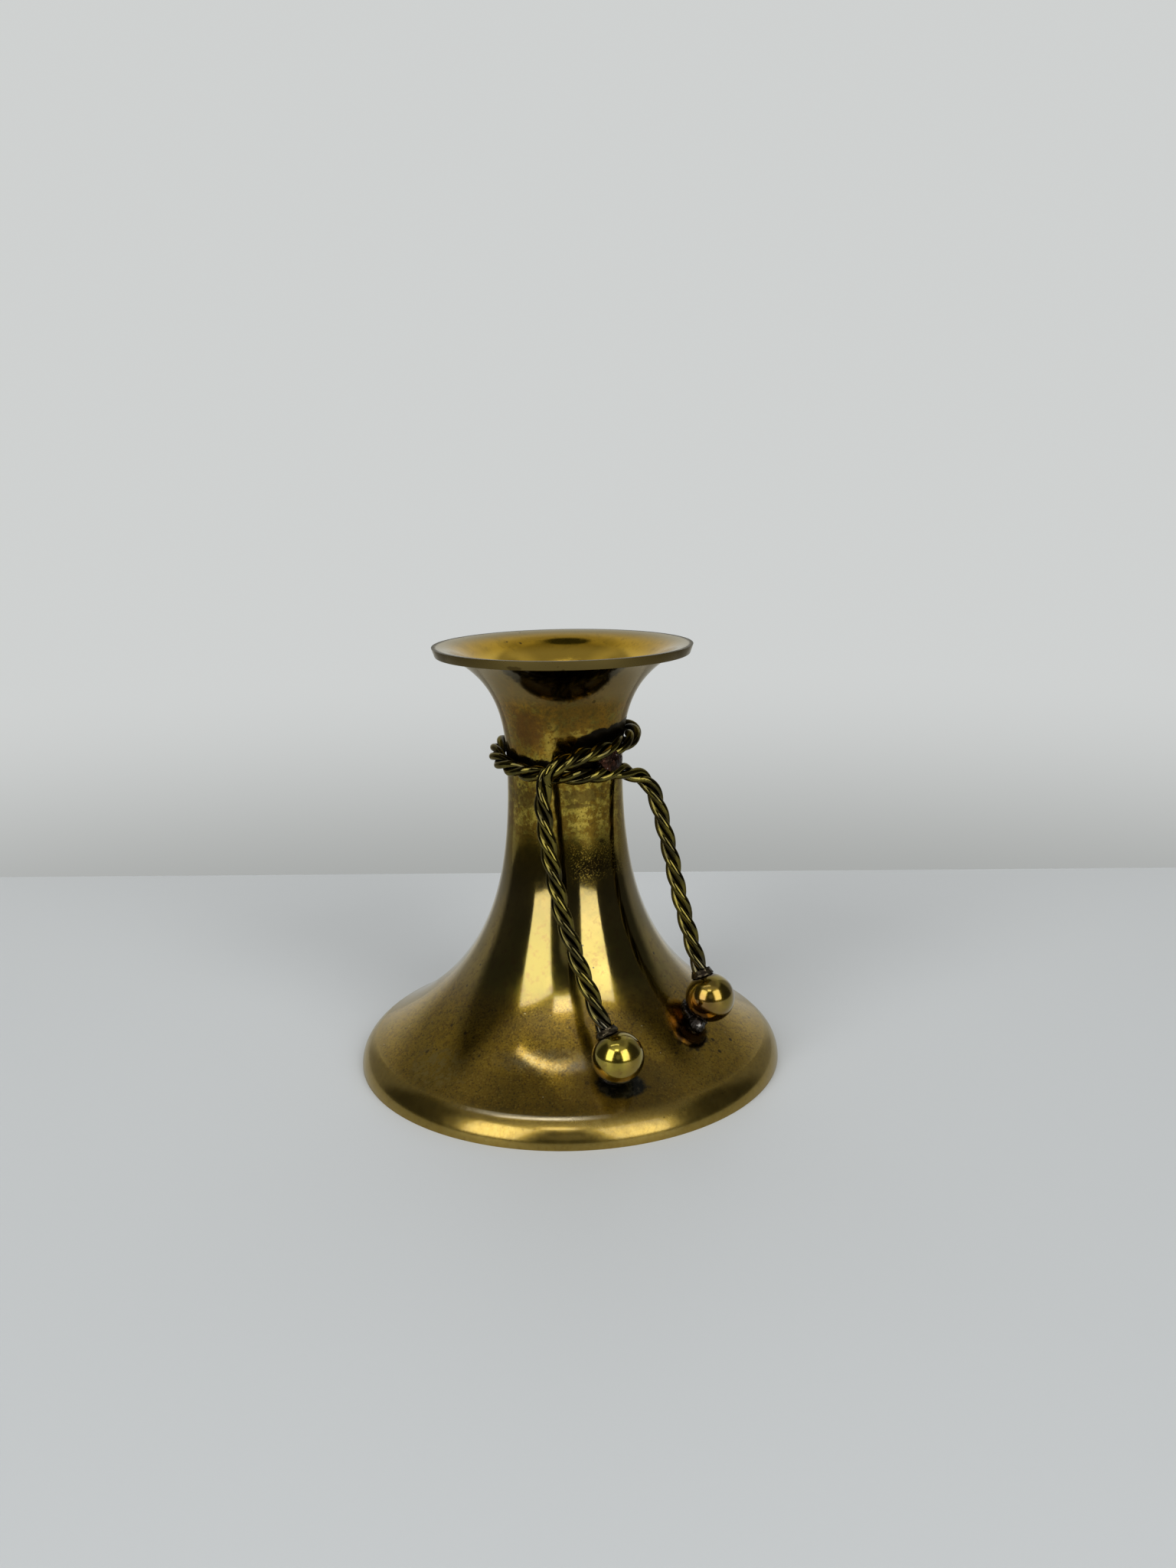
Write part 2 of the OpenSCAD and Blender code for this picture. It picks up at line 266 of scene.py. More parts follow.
def round_wire(node):
    """One wire of the rope, rounded from the eight sides of its solid and swollen first by what
    the rounding takes off."""
    bm = merged_copy(node)
    bmesh.ops.join_triangles(bm, faces=bm.faces, angle_face_threshold=WIRE_FLATS,
                             angle_shape_threshold=WIRE_FLATS)
    swell = 3 / (2 + math.cos(2 * math.pi / WIRE_SIDES)) - 1
    bm.normal_update()
    for vert in bm.verts:
        vert.co += vert.normal * WIRE_R * swell
    mesh = to_mesh(bm, node, 180)
    return finished(mesh, SUBSURF={"levels": 2, "render_levels": 2})


def tree_of(points):
    tree = kdtree.KDTree(len(points))
    for i, point in enumerate(points):
        tree.insert(point, i)
    tree.balance()
    return tree


def shade_by(mesh, name, value):
    """Stores a number from 0 to 1 at every vertex, for the materials."""
    layer = mesh.attributes.new(name, "FLOAT", "POINT")
    layer.data.foreach_set("value", [value(v) for v in mesh.vertices])


def share(value):
    """A value kept between 0 and 1."""
    return min(max(value, 0), 1)


def fading(gap, full, none):
    """1 up to one distance, falling smoothly to 0 at another."""
    t = share((none - gap) / (none - full))
    return t * t * (3 - 2 * t)


def near(tree, full, none):
    """Share of a vertex that fades with its distance from a tree's points."""
    return lambda vert: fading(tree.find(vert.co)[2], full, none)


def is_rim_edge(vert):
    """1 on the upright edge of the rim, 0 elsewhere."""
    point = vert.co
    r = math.hypot(point.x, point.y)
    return float(EDGE_LOW_Z < point.z < EDGE_HIGH_Z and r > EDGE_R)


def is_inside(vert):
    """1 inside the wall, up to the rim's upper edge, 0 outside it."""
    point = vert.co
    r = math.hypot(point.x, point.y)
    if point.z > FUNNEL_Z:
        return 1 - is_rim_edge(vert)
    return float(r < outer_r(min(max(point.z, LIP_H), BRIM_Z)) - 0.5 * WALL)


def rope_dirt_and_shade(vert):
    """Dirt and painted shade on the body close to the rope, reaching furthest above its upper pass.
    """
    point = vert.co
    spot, _, gap = rope_tree.find(point)
    full, none = BODY_DIRT_AND_SHADE_BELOW
    if point.z > spot.z:
        to_right = share((point.x + DIRT_AND_SHADE_RUN_START) / DIRT_AND_SHADE_RUN)
        full, none = (a + b * to_right for a, b in zip(BODY_DIRT_AND_SHADE_ABOVE, BODY_DIRT_AND_SHADE_MORE))
    return fading(gap, full * MM, none * MM)


def rope_back_dirt_and_shade(vert):
    """1 on the side of a wire that looks to the holder's axis, 0 on its outer side; dirt and
    painted shade darken that side.
    """
    outward = Vector((vert.co.x, vert.co.y, 0)).normalized()
    return share(BACK_SHARE - BACK_GROWTH * vert.normal.dot(outward))


def drilled_ball(node, entry):
    """Ball with a blind hole towards the rope's entry, its mouth rounded."""
    low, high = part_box(node)
    radius = (high.x - low.x) / 2
    bm = bmesh.new()
    bmesh.ops.create_uvsphere(bm, u_segments=BALL_TURNS, v_segments=BALL_RINGS, radius=radius)
    mouth_z = math.sqrt(radius ** 2 - HOLE_R ** 2)
    bmesh.ops.bisect_plane(bm, geom=bm.verts[:] + bm.edges[:] + bm.faces[:],
                           plane_co=(0, 0, mouth_z), plane_no=(0, 0, 1), clear_outer=True)
    mouth = [e for e in bm.edges if e.is_boundary]
    made = bmesh.ops.extrude_edge_only(bm, edges=mouth)["geom"]
    floor_verts = [g for g in made if isinstance(g, bmesh.types.BMVert)]
    bmesh.ops.translate(bm, verts=floor_verts, vec=(0, 0, radius - HOLE_DEPTH - mouth_z))
    floor_edges = [g for g in made if isinstance(g, bmesh.types.BMEdge) and g.is_boundary]
    bmesh.ops.contextual_create(bm, geom=floor_edges)
    round_edges(bm, mouth, HOLE_ROUND)
    bmesh.ops.recalc_face_normals(bm, faces=bm.faces)
    centre = (low + high) / 2
    turn = (entry - centre).to_track_quat("Z", "Y").to_matrix().to_4x4()
    bmesh.ops.transform(bm, matrix=Matrix.Translation(centre) @ turn, verts=bm.verts)
    return to_mesh(bm, node)


def solder_blob(node, lump, swell, smoothing, seed, reach):
    """Solder grown from its solid, with a lumpy run skin. What stands further from the holder's
    axis than a reach is pulled in."""
    bm = merged_copy(node)
    mesh = finished(to_mesh(bm, node), REMESH={"mode": "VOXEL", "voxel_size": SOLDER_CELL})
    bm = bmesh.new()
    bm.from_mesh(mesh)
    for _ in range(smoothing):
        bmesh.ops.smooth_vert(bm, verts=bm.verts, factor=0.5, use_axis_x=True, use_axis_y=True,
                              use_axis_z=True)
    bm.normal_update()
    offset = Vector((seed, 0, 0))
    for vert in bm.verts:
        wave = noise.noise(vert.co / LUMP_SIZE + offset)
        wave += 0.5 * noise.noise(vert.co / RIPPLE_SIZE + offset)
        vert.co += vert.normal * (lump * wave + swell)
        r = math.hypot(vert.co.x, vert.co.y)
        if reach and r > reach:
            pulled = (reach + BEYOND_REACH * (r - reach)) / r
            vert.co.x, vert.co.y = vert.co.x * pulled, vert.co.y * pulled
    return to_mesh(bm, node, 180)


class Nodes:
    """A node tree, with one short call for each kind of node."""

    def __init__(self, tree):
        self.tree = tree

    def join(self, value, socket):
        """Links another socket, or sets a number, a vector, or a colour given as a tuple."""
        if isinstance(value, bpy.types.NodeSocket):
            self.tree.links.new(value, socket)
        elif isinstance(value, tuple):
            socket.default_value = (*value, 1)
        else:
            socket.default_value = value

    def make(self, kind, *inputs, **settings):
        """A new node of a kind, with its settings and its first inputs."""
        node = self.tree.nodes.new("ShaderNode" + kind)
        for key, value in settings.items():
            setattr(node, key, value)
        for value, socket in zip(inputs, node.inputs):
            self.join(value, socket)
        return node

    def math(self, kind, *values):
        return self.make("Math", *values, operation=kind).outputs[0]

    def times(self, product, *others):
        for other in others:
            product = self.math("MULTIPLY", product, other)
        return product

    def plus(self, total, *others):
        for other in others:
            total = self.math("ADD", total, other)
        return total

    def minus(self, a, b):
        return self.math("SUBTRACT", a, b)

    def band(self, value, start, end, low=0.0, high=1.0):
        """Smooth step of a value between two of its levels."""
        node = self.make("MapRange", value, start, end, low, high, interpolation_type="SMOOTHSTEP")
        return node.outputs["Result"]

    def mix(self, share, a, b):
        node = self.make("Mix", data_type="RGBA")
        sockets = [s for s in node.inputs if s.enabled]
        for value, socket in zip((share, a, b), sockets):
            self.join(value, socket)
        return next(s for s in node.outputs if s.enabled)

    def parts(self, vector):
        """The three parts of a vector."""
        return self.make("SeparateXYZ", vector).outputs

    def gap(self, vector, point):
        """Distance between a vector and a point."""
        return self.make("VectorMath", vector, Vector(point), operation="DISTANCE").outputs["Value"]


class Finish(Nodes):
    """A material with a ground tone, on which others are laid. Its places are in millimetres."""

    def __init__(self, name, tone):
        self.material = bpy.data.materials.new(name)
        self.material.use_nodes = True
        super().__init__(self.material.node_tree)
        self.place = self.mapped(self.make("TexCoord").outputs["Object"], (1 / MM,) * 3)
        self.tone = tone

    def lay(self, share, tone):
        self.tone = self.mix(share, self.tone, tone)

    def mapped(self, vector, scale, location=(0, 0, 0)):
        node = self.make("Mapping", vector)
        node.inputs["Scale"].default_value = scale
        node.inputs["Location"].default_value = location
        return node.outputs["Vector"]

    def shifted(self, shift):
        """The place, moved so that two patterns of one kind don't coincide."""
        return self.mapped(self.place, (1, 1, 1), (shift,) * 3)

    def cloud(self, size, detail=4, shift=0, rough=0.55):
        """Noise from 0 to 1 with patches about as large as a size in millimetres."""
        node = self.make("TexNoise", self.shifted(shift))
        node.inputs["Scale"].default_value = 1 / size
        node.inputs["Detail"].default_value = detail
        node.inputs["Roughness"].default_value = rough
        return node.outputs["Fac"]

    def attribute(self, name):
        return self.make("Attribute", attribute_name=name).outputs["Fac"]

    def distance(self, point):
        return self.gap(self.place, point)

    def stain(self, point, sizes, ragged=0.5, soft=0.25):
        """Mark round a point: 1 in its middle, 0 beyond sizes along the axes, with an edge that is
        ragged and soft by two shares of those sizes."""
        scaled = self.mapped(self.place, [1 / size for size in sizes])
        round_gap = self.gap(scaled, [c / size for c, size in zip(point, sizes)])
        waves = self.minus(self.cloud(1.7, 5, shift=23, rough=0.65), 0.5)
        gap = self.plus(round_gap, self.times(waves, 4 * ragged))
        return self.band(gap, 1 + soft / 2, 1 - soft / 2)

    def specks(self, size, share, shift=0):
        """Small ragged marks of unequal size: 1 in a mark, 0 elsewhere."""
        node = self.make("TexVoronoi", self.shifted(shift))
        node.inputs["Scale"].default_value = 1 / size
        chance = self.make("SeparateColor", node.outputs["Color"]).outputs[0]
        reach = self.times(self.math("POWER", chance, 3.0), share)
        waves = self.minus(self.cloud(0.35, 2, shift=shift), 0.5)
        gap = self.minus(node.outputs["Distance"], reach)
        gap = self.plus(gap, self.times(waves, share * 0.8))
        return self.band(gap, 0.0, -0.25 * share)

    def bump(self, height, depth):
        """Relief from a height of 0 to 1 over a depth in millimetres."""
        node = self.make("Bump")
        node.inputs["Strength"].default_value = 1
        node.inputs["Distance"].default_value = depth * MM
        self.join(height, node.inputs["Height"])
        return node.outputs["Normal"]

    def set(self, **values):
        """The material with its tone and its other values joined to the shader."""
        shader = self.tree.nodes["Principled BSDF"]
        for name, value in (("Base_Color", self.tone), *values.items()):
            self.join(value, shader.inputs[name.replace("_", " ")])
        return self.material


# Tones of the body's metal and films
GOLD = (0.38, 0.265, 0.045)
WORN_GOLD = (0.42, 0.31, 0.05)
WARM_GOLD = (0.51, 0.3, 0.02)
BOWL_GOLD = (0.72, 0.47, 0.07)
LIP_GOLD = (0.3, 0.212, 0.048)
# Pale gold of specks on the foot, also the painted highlight along the crease
PALE_GOLD_AND_HIGHLIGHT = (0.6, 0.5, 0.3)
NECK_GOLD = (0.33, 0.25, 0.035)
DULL_GOLD = (0.1, 0.072, 0.013)
PALE_FILM_AND_SHEEN = (0.215, 0.168, 0.075)
OLIVE = (0.2, 0.152, 0.014)
PINK_BROWN = (0.345, 0.21, 0.013)
ORANGE_BROWN = (0.3, 0.155, 0.014)
BROWN = (0.18, 0.102, 0.01)
SHADE_BROWN = (0.19, 0.135, 0.05)
BORE_BROWN = (0.16, 0.11, 0.025)
BAND_BROWN = (0.14, 0.1, 0.028)
RED_BROWN = (0.1, 0.045, 0.01)
STREAK_BROWN = (0.09, 0.055, 0.01)
UMBER = (0.06, 0.038, 0.008)
RING_GREY = (0.22, 0.185, 0.11)
EDGE_LINE = (0.045, 0.038, 0.02)
# Soot and painted dark reflection under the rim
SOOT_AND_DARK_REFLECTION = (0.022, 0.015, 0.005)
DIRT_AND_SHADE_BLACK = (0.01, 0.007, 0.003)
FLUX, FLUX_PALE = (0.009, 0.009, 0.006), (0.035, 0.032, 0.02)
BODY_GLINT = (1.0, 0.95, 0.82)

# Tones of the rope and the balls
ROPE_OLIVE, ROPE_GOLD = (0.036, 0.029, 0.003), (0.12, 0.096, 0.01)
ROPE_END = (0.05, 0.045, 0.036)
ROPE_GLINT = (0.55, 0.5, 0.35)
BALL_GOLD, BALL_BROWN = (0.34, 0.265, 0.027), (0.27, 0.187, 0.019)
BALL_COPPER = (0.17, 0.075, 0.014)
BALL_DIRT_AND_SHADE = (0.035, 0.012, 0.006)

# Tones of the solder
RUN_DARK, RUN_GREY = (0.018, 0.014, 0.011), (0.15, 0.14, 0.13)
DROP_BLACK, DROP_RED, DROP_SILVER = (0.014, 0.006, 0.003), (0.045, 0.017, 0.009), (0.4, 0.37, 0.34)
COLLAR_DARK, COLLAR_BROWN = (0.016, 0.011, 0.006), (0.07, 0.055, 0.03)

# Marks: middle and sizes in millimetres, then the ragged and the soft share of the edge
FOOT_PATCH = ((-28, -27, 8.6), (7, 7, 3), 0.4, 0.8)
# Paler patch on the foot, partly worn film and partly painted sheen on its highlight
FOOT_WEAR_AND_SHEEN = ((-4, -33.6, 12.4), (12, 5, 1.7), 0.3, 0.9)
# Painted highlight along the crease at the front
CREASE_HIGHLIGHT = ((-8, -44, 5.5), (13, 9, 4), 0.2, 0.9)
# Dull halo by the front ball, darkened as painted shadow
DULL_AND_SHADOW_MARK = ((9.9, -38, 8.6), (11, 8, 6.5), 0.2, 1.2)
FLUX_MARK = ((10.1, -37.8, 8.7), (5.4, 3.5, 2.3), 0.14)
# Painted dark reflection of the side ball on the flare beside it
SIDE_BALL_DARK_REFLECTION = ((25.8, -21.6, 12.4), (4.6, 4.4, 4.2), 0.4, 0.5)
NECK_BLOTCH = ((5.7, -12.9, 47.6), (3.2, 3, 1.6), 0.8)
NECK_STREAKS = (((4, -12.4, 63.4), (4.6, 3, 1.5), 1.1, 0.5),
                ((3, -12.6, 61.2), (3.8, 3, 0.4), 1.1, 0.5),
                ((-8, -10, 62.5), (4, 4, 2.2), 1.1, 0.5))
RED_PATCH = ((-8, -11.6, 78), (4.2, 3.8, 4.6), 0.4, 0.9)
# Patches partly worn bright and partly painted glints
WORN_AND_GLINT_PATCHES = (((-2.6, -13.2, 75.4), (1.6, 2.5, 4.2), 0.5, 0.9),
                  ((3.7, -13.1, 77.1), (3.2, 2.5, 0.9), 0.5, 0.9))
# Patch of painted dark reflection below the rim at the front
UPPER_DARK_REFLECTION = ((0.5, -14, 82.5), (7, 5, 5), 0.4, 0.9)
RIM_NICK = ((-9.6, -26.7, 92.9), (1.5, 2, 0.5))

# Small round marks: the middles of the neck's rings with their radius, and of the specks with
# where they end and where they are full
NECK_RINGS = ((-1.4, -12.8, 61.8), (-11.7, -5.1, 65.6))
RING_R = 1.1
FOOT_SPECKS = ((30.9, -20.4, 10.2), (35.1, -17.4, 8.7), (32.1, -22.8, 8.6))
FOOT_SPECK = (0.55, 0.35)
FLARE_SPECKS = (((18.9, -10, 26.5), 0.45), ((22.3, -13.6, 19.9), 0.3), ((23.3, -13.8, 18.8), 0.3),
                ((22.9, -14.6, 18.6), 0.25), ((3, -18.3, 31.8), 0.25), ((5.2, -20.1, 27.4), 0.25),
                ((21.2, -12.4, 22), 0.25), ((24.6, -14.4, 17), 0.3))

# Heights in millimetres between which the foot's film, the neck's film, the film under the rim and
# the bore start and are full
FOOT_ZONE = (26, 20.5)
NECK_ZONE = (48, 56)
UNDER_RIM = (70, 76)
BORE_ZONE = (79, 76)

# Middles of the balls in millimetres, and the copper-red side of the side ball
BALL_CENTRES = [sum(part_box(node), Vector()) / 2 / MM for node in BALLS]
BALL_RED = (BALL_CENTRES[1] + Vector((-3.4, -2.6, -2.4)), (5.2, 5.2, 4.6), 0.2, 1)


class AgedBrass(Finish):
    """The body's patina. Each of its films is a method that lays its tones on those before."""

    def __init__(self):
        super().__init__("aged_brass", OLIVE)
        self.x, self.y, self.z = self.parts(self.place)
        self.to_side = self.math("ABSOLUTE", self.x)
        squares = self.plus(self.times(self.x, self.x), self.times(self.y, self.y))
        self.radius = self.math("SQRT", squares)
        self.patch = self.cloud(6, 6, shift=11, rough=0.66)
        self.fine = self.cloud(1.5, 5, shift=19, rough=0.7)
        self.grain = self.cloud(0.4, 2, shift=5)
        self.foot = self.band(self.plus(self.z, self.times(self.patch, 5)), *FOOT_ZONE)
        self.neck = self.band(self.z, *NECK_ZONE)
        self.inside = self.attribute("inside")
        self.rim_edge = self.attribute("rim_edge")

    def clean_flare(self):
        """Clean metal of the lower flare, duller towards the neck."""
        self.lay(self.band(self.cloud(24, 4, shift=3), 0.4, 0.62), GOLD)
        self.lay(self.times(self.band(self.fine, 0.5, 0.64), 0.65), BROWN)
        upper = self.times(self.band(self.z, 29, 45), self.band(self.fine, 0.35, 0.65, 0.8, 0.5))
        self.lay(upper, DULL_GOLD)

    def foot_film(self):
        """Brown film on the foot, with blots, specks and grain."""
        front = self.times(self.band(self.y, -16, -28, 0, 0.35), self.band(self.to_side, 30, 20))
        blots = self.cloud(2.6, 6, shift=61, rough=0.74)
        for share, tone in (
                (self.band(self.patch, 0.34, 0.56, 0.65, 1), PINK_BROWN),
                (front, BROWN),
                (self.band(self.fine, 0.48, 0.62, 0, 0.75), BROWN),
                (self.band(blots, 0.5, 0.62, 0, 0.25), UMBER),
                (self.specks(1.9, 0.1, 57), PALE_GOLD_AND_HIGHLIGHT),
                (self.band(self.grain, 0.58, 0.68, 0, 0.75), GOLD),
                (self.band(self.grain, 0.44, 0.34, 0, 0.75), UMBER)):
            self.lay(self.times(self.foot, share), tone)

    def foot_wear(self):
        """Patches where the film is rubbed through, one of them partly painted sheen where the
        foot's highlight falls, and darker film low on the foot, most at the front, and above its
        crease.
        """
        # The second patch is partly worn film and partly painted sheen on the foot's highlight
        for mark, start, end, least, most, tone in (
                (FOOT_PATCH, 0.48, 0.58, 0.1, 0.9, LIP_GOLD),
                (FOOT_WEAR_AND_SHEEN, 0.35, 0.6, 0.75, 0.3, PALE_FILM_AND_SHEEN)):
            rubbed = self.band(self.fine, start, end, least, most)
            self.lay(self.times(self.stain(*mark), rubbed), tone)
        # Darker low on the foot, most at the front
        low = self.times(self.band(self.z, 11.5, 9.5), self.band(self.fine, 0.4, 0.6, 0.4, 0.1))
        self.lay(self.times(low, self.band(self.y, -18, -34, 0.2, 1)), UMBER)
        # Darker ring above the crease
        crease = self.times(self.band(self.radius, 41.5, 43.4), self.band(self.radius, 44.7, 44.2))
        self.lay(self.times(crease, self.band(self.fine, 0.4, 0.6, 0.3, 0)), UMBER)

    def neck_film(self):
        """Mottled film from the neck upwards, partly rubbed bright on the neck."""
        self.lay(self.times(self.neck, 0.6), NECK_GOLD)
        mottle = self.band(self.plus(self.patch, self.times(self.fine, 0.8)), 0.84, 0.94)
        self.lay(self.times(self.neck, mottle, 0.9), BROWN)
        rubbed = self.times(self.band(self.z, 55, 57), self.band(self.z, 68, 64))
        self.lay(self.times(rubbed, self.band(self.fine, 0.5, 0.4, 0, 0.75)), WORN_GOLD)

    def upper_film(self):
        """Warm and dull film on the upper flare, darker right of the middle as a painted dark
        reflection, with flecks and a few patches that are partly worn bright and partly painted
        glints.
        """
        under_rim = self.band(self.z, *UNDER_RIM)
        warm = self.band(self.cloud(2.4, 6, shift=41, rough=0.75), 0.4, 0.56)
        self.lay(self.times(under_rim, warm), ORANGE_BROWN)
        # Dull film from the noise, and a painted dark reflection right of the middle
        dull_and_reflection = self.math("MAXIMUM", self.band(self.fine, 0.4, 0.58, 0.6, 0.1),
                         self.band(self.x, -2.5, -0.5, 0, 0.4))
        self.lay(self.times(under_rim, dull_and_reflection), UMBER)
        flecks = self.band(self.cloud(0.55, 4, shift=29, rough=0.75), 0.52, 0.61, 0, 0.75)
        flecks = self.times(self.math("MAXIMUM", under_rim, self.neck), flecks)
        self.lay(flecks, STREAK_BROWN)
        self.lay(self.times(self.stain(*RED_PATCH), 0.8), RED_BROWN)
        # Patches partly worn bright and partly painted glints
        for mark in WORN_AND_GLINT_PATCHES:
            wear_and_glint = self.times(self.stain(*mark), self.band(self.fine, 0.44, 0.54))
            self.lay(self.times(wear_and_glint, 0.6), WORN_GOLD)

    def rim_shade_soot_and_reflection(self):
        """Brown shade under the rim, a patch of painted dark reflection below it at the front, and
        soot with painted dark reflection right under the rim, which reaches lower in the middle.
        """
        self.lay(self.band(self.z, 82, 86, 0, 0.75), SHADE_BROWN)
        # Painted dark reflection in a patch below the rim at the front
        self.lay(self.times(self.stain(*UPPER_DARK_REFLECTION), 0.45), UMBER)
        # Soot and painted dark reflection with a ragged edge, reaching lower in the middle
        ragged_z = self.plus(self.z, self.times(self.fine, 5))
        ragged_z = self.minus(ragged_z, self.times(self.x, self.x, 0.045))
        self.lay(self.band(ragged_z, 86.2, 88, 0, 0.95), SOOT_AND_DARK_REFLECTION)

    def lip_metal(self):
        """Lip worn bright, with a painted highlight along its crease at the front."""
        lip_share = self.times(self.band(self.z, 6.4, 4.6), self.band(self.fine, 0.3, 0.6, 1, 0.6))
        self.lay(lip_share, LIP_GOLD)
        # Painted highlight along the crease at the front
        highlight_line = self.times(self.band(self.radius, 44.3, 44.6), self.band(self.radius, 45.4, 44.9))
        self.lay(self.times(highlight_line, self.stain(*CREASE_HIGHLIGHT)), PALE_GOLD_AND_HIGHLIGHT)

    def funnel(self):
        """Warm inside of the funnel, and the rim's edge, with painted shade that darkens it towards
        both sides.
        """
        inside = self.mix(self.band(self.patch, 0.46, 0.7, 0, 0.7), WARM_GOLD, PINK_BROWN)
        for value, start, end, most, tone in (
                (self.fine, 0.52, 0.7, 0.35, BROWN),
                (self.radius, 21, 18.5, 0.85, BOWL_GOLD),
                (self.radius, 22, 26.5, 0.9, RING_GREY),
                (self.radius, 26.6, 28.1, 0.9, EDGE_LINE),
                (self.z, *BORE_ZONE, 0.8, BORE_BROWN)):
            inside = self.mix(self.band(value, start, end, 0, most), inside, tone)
        self.lay(self.inside, inside)
        # Painted shade that darkens the rim's edge towards both sides
        edge = self.mix(self.band(self.to_side, 8, 24, 0, 0.85), BAND_BROWN, UMBER)
        self.lay(self.rim_edge, edge)

    def small_marks(self):
        """Rings, streaks and a blotch on the neck, a nick in the rim, specks and pits."""
        for spot in NECK_RINGS:
            off_ring = self.math("ABSOLUTE", self.minus(self.distance(spot), RING_R))
            self.lay(self.band(off_ring, 0.28, 0.1, 0, 0.5), BROWN)
        for mark in NECK_STREAKS:
            self.lay(self.times(self.stain(*mark), 0.75), STREAK_BROWN)
        self.lay(self.times(self.stain(*NECK_BLOTCH), 0.7), UMBER)
        self.lay(self.times(self.stain(*RIM_NICK), 0.8), UMBER)
        for spot in FOOT_SPECKS:
            self.lay(self.band(self.distance(spot), *FOOT_SPECK, 0, 0.8), DIRT_AND_SHADE_BLACK)
        for spot, size in FLARE_SPECKS:
            self.lay(self.band(self.distance(spot), size, 0.6 * size, 0, 0.8), DIRT_AND_SHADE_BLACK)
        pits = self.math("MAXIMUM", self.specks(3.2, 0.16), self.specks(6.5, 0.13, 31))
        self.lay(self.times(pits, 0.85), UMBER)

    def dirt_and_shade(self):
        """Dirt and painted shade next to the rope, a dull halo with painted shadow and a dark mark
        of flux by the front ball, and a painted dark reflection beside the side ball.
        """
        # Dirt and painted shade next to the rope, with a ragged edge
        ragged = self.times(self.minus(self.fine, 0.5), 0.9)
        self.grime_and_shade = self.band(self.plus(self.attribute("grime_and_shade"), ragged), 0.3, 0.62)
        self.lay(self.grime_and_shade, DIRT_AND_SHADE_BLACK)
        # Dull halo by the front ball, darkened as painted shadow
        self.dulled_and_shaded = self.stain(*DULL_AND_SHADOW_MARK)
        self.lay(self.times(self.dulled_and_shaded, 0.65), UMBER)
        # Painted dark reflection of the side ball on the flare beside it
        self.lay(self.times(self.stain(*SIDE_BALL_DARK_REFLECTION), 0.9), DIRT_AND_SHADE_BLACK)
        flux = self.mix(self.band(self.fine, 0.5, 0.62), FLUX, FLUX_PALE)
        self.lay(self.stain(*FLUX_MARK), flux)

    def roughness(self, worn_edge):
        """Roughness of the metal, and what each zone adds to it."""
        dust = self.band(self.cloud(0.4, 3, shift=17, rough=0.7), 0.53, 0.6)
        return self.plus(
            self.band(self.patch, 0.4, 0.7, 0.07, 0.12),
            self.times(self.grain, 0.02),
            self.times(self.band(self.z, 28, 21, 0, 0.09), self.band(self.z, 12, 16)),
            self.times(self.band(self.z, 54, 52.5), self.band(self.z, 43, 46),
                       self.band(self.x, -1, 1.5), dust, 0.2),
            self.band(self.z, 6.6, 5, 0, 0.13),
            self.times(self.neck, self.band(self.fine, 0.4, 0.65, 0, 0.06)),
            self.times(self.dulled_and_shaded, 0.32),
            self.times(self.grime_and_shade, 0.25),
            self.times(self.rim_edge, 0.12),
            self.times(worn_edge, 0.4),
            self.times(self.band(self.z, *BORE_ZONE), self.inside, 0.25))


def aged_brass():
    brass = AgedBrass()
    for film in (brass.clean_flare, brass.foot_film, brass.foot_wear, brass.neck_film,
                 brass.upper_film, brass.rim_shade_soot_and_reflection, brass.lip_metal, brass.funnel, brass.small_marks,
                 brass.dirt_and_shade):
        film()
    worn_edge = brass.times(brass.band(brass.radius, 27.2, 27.9), brass.inside,
                            brass.band(brass.z, 88, 90))
    lacquer = brass.math("MINIMUM", brass.band(brass.z, 13, 22, 0.18, 0.7),
                         brass.band(brass.z, 52, 38, 0.04, 0.7))
    return brass.set(Metallic=brass.minus(1.0, brass.times(worn_edge, 0.9)),
                     Roughness=brass.roughness(worn_edge), Specular_Tint=BODY_GLINT,
                     Coat_Weight=lacquer, Coat_Roughness=0.08, Coat_IOR=1.65,
                     Normal=brass.bump(brass.cloud(0.8, 1, shift=13), 0.003))


def rope_brass():
    """Brass of the wires, greyer near the balls, with dirt and painted shade in the grooves and at
    the back, which is also dull.
    """
    brass = Finish("rope_brass", ROPE_OLIVE)
    patch = brass.cloud(5, 5, shift=2)
    grime_and_shade, back = brass.attribute("grime_and_shade"), brass.attribute("back")
    brass.lay(brass.band(patch, 0.38, 0.62), ROPE_GOLD)
    brass.lay(brass.times(brass.band(brass.cloud(0.6, 3, shift=9), 0.55, 0.68), 0.4), UMBER)
    for centre in BALL_CENTRES:
        brass.lay(brass.band(brass.distance(centre), 10, 7.5, 0, 0.6), ROPE_END)
    # Dirt and painted shade in the grooves between the wires
    brass.lay(grime_and_shade, DIRT_AND_SHADE_BLACK)
    # Dirt and painted shade on the back of the wires, which looks to the holder
    brass.lay(brass.times(back, 0.85), DIRT_AND_SHADE_BLACK)
    rough = brass.plus(brass.band(patch, 0.4, 0.7, 0.045, 0.08), brass.times(grime_and_shade, 0.3),
                       brass.times(back, 0.45))
    return brass.set(Metallic=brass.minus(1.0, brass.times(back, 0.8)), Roughness=rough,
                     Coat_Weight=brass.times(brass.minus(1.0, back), 0.28), Coat_Roughness=0.04,
                     Specular_Tint=ROPE_GLINT,
                     Normal=brass.bump(brass.cloud(0.8, 1, shift=9), 0.003))


